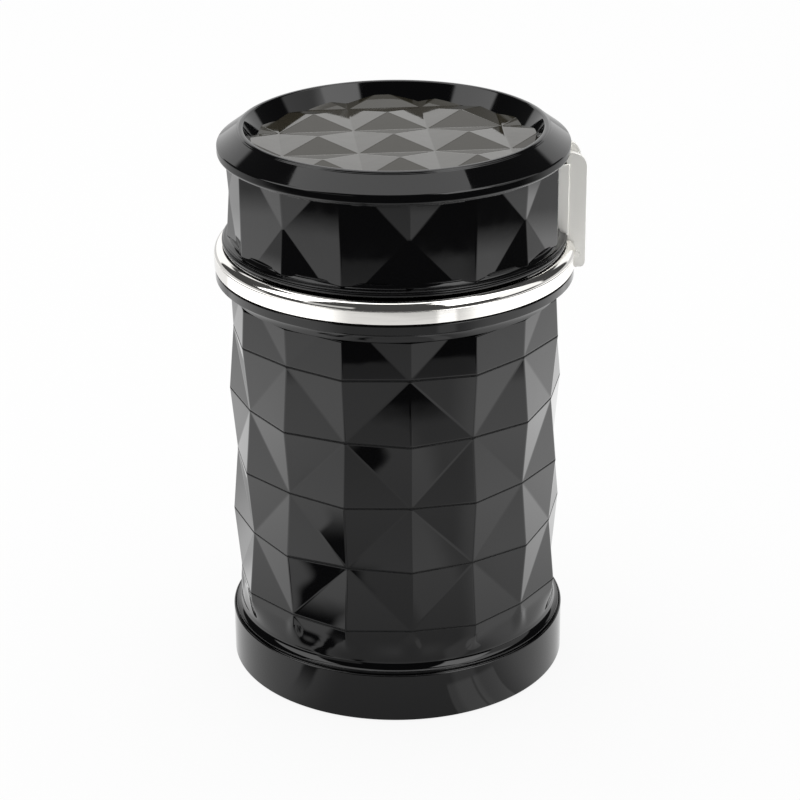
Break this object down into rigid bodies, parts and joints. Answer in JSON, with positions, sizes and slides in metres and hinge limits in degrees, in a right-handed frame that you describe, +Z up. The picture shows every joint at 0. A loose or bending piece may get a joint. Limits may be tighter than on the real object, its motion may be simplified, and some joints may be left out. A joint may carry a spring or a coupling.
{
  "type": "hand grinder with a glass jar",
  "caption": "Hand grinder for herbs and spices: a faceted black glass jar in a base ring, a turning head with a bright ring and conical burrs, and a dished lid on a side hinge.",
  "frame": {"origin": "centre of the foot pad's underside, on the jar's axis", "axes": "+Z up along the axis of the jar and the head, +X towards the lid hinge, -Y to the front"},
  "size_m": [0.0747, 0.073, 0.116],
  "materials": {
    "black_glass": "opaque black cut glass, polished",
    "black_plastic": "moulded black plastic, high gloss",
    "black_matte": "moulded black plastic, fine satin",
    "chrome": "bright plated ring",
    "sheet_steel": "stainless sheet, fine satin",
    "turned_steel": "turned and ground steel",
    "burr_steel": "hardened steel, ground teeth",
    "screw_steel": "blackened steel screws",
    "bronze": "sintered bronze",
    "acetal": "natural acetal",
    "silicone": "grey silicone",
    "rubber": "black rubber"
  },
  "bodies": {
    "jar": {"base_cup": "black_plastic", "foot_pad": "rubber", "jar_cushion": "silicone", "glass_jar": "black_glass"},
    "insert": {"neck_gasket": "silicone", "neck_insert": "black_matte", "glide_ring": "acetal", "outer_burr": "burr_steel", "burr_clamp": "sheet_steel", "clamp_screws": "screw_steel", "bearing_bridge": "sheet_steel", "bridge_screws": "screw_steel", "shaft_bushing": "bronze"},
    "head": {"head_collar": "black_plastic", "bright_ring": "chrome", "hinge_knuckle": "turned_steel", "hinge_pin": "turned_steel", "driver_plate": "sheet_steel", "driver_screws": "screw_steel", "drive_shaft": "turned_steel", "shaft_nut": "turned_steel", "thrust_washer": "turned_steel", "burr_spring": "turned_steel"},
    "burr": {"inner_burr": "burr_steel", "click_washer": "turned_steel"},
    "nut": {"adjusting_nut": "black_matte"},
    "lid": {"lid_shell": "black_plastic", "lid_panel": "black_plastic", "lid_liner": "black_matte", "lid_seal": "silicone", "hinge_bracket": "sheet_steel", "bracket_screws": "screw_steel"}
  },
  "joints": [
    {"name": "head_lift", "type": "slide", "parent": "jar", "child": "insert", "axis": [0, 0, 1], "range_m": [0, 0.06]},
    {"name": "head_turn", "type": "hinge", "parent": "insert", "child": "head", "pos_m": [0, 0, 0.0855], "axis": [0, 0, 1], "continuous": true},
    {"name": "lid_open", "type": "hinge", "parent": "head", "child": "lid", "pos_m": [0.036, 0, 0.0885], "axis": [0, 1, 0], "range_deg": [0, 105]},
    {"name": "burr_gap", "type": "slide", "parent": "head", "child": "burr", "axis": [0, 0, -1], "range_m": [0, 0.0012], "deforming": ["burr_spring"]},
    {"name": "nut_turn", "type": "hinge", "parent": "burr", "child": "nut", "pos_m": [0, 0, 0.0574], "axis": [0, 0, -1], "range_deg": [0, 618]}
  ],
  "couplings": [
    {"joint": "nut_turn", "follows": "burr_gap", "rad_per_m": 8976}
  ]
}
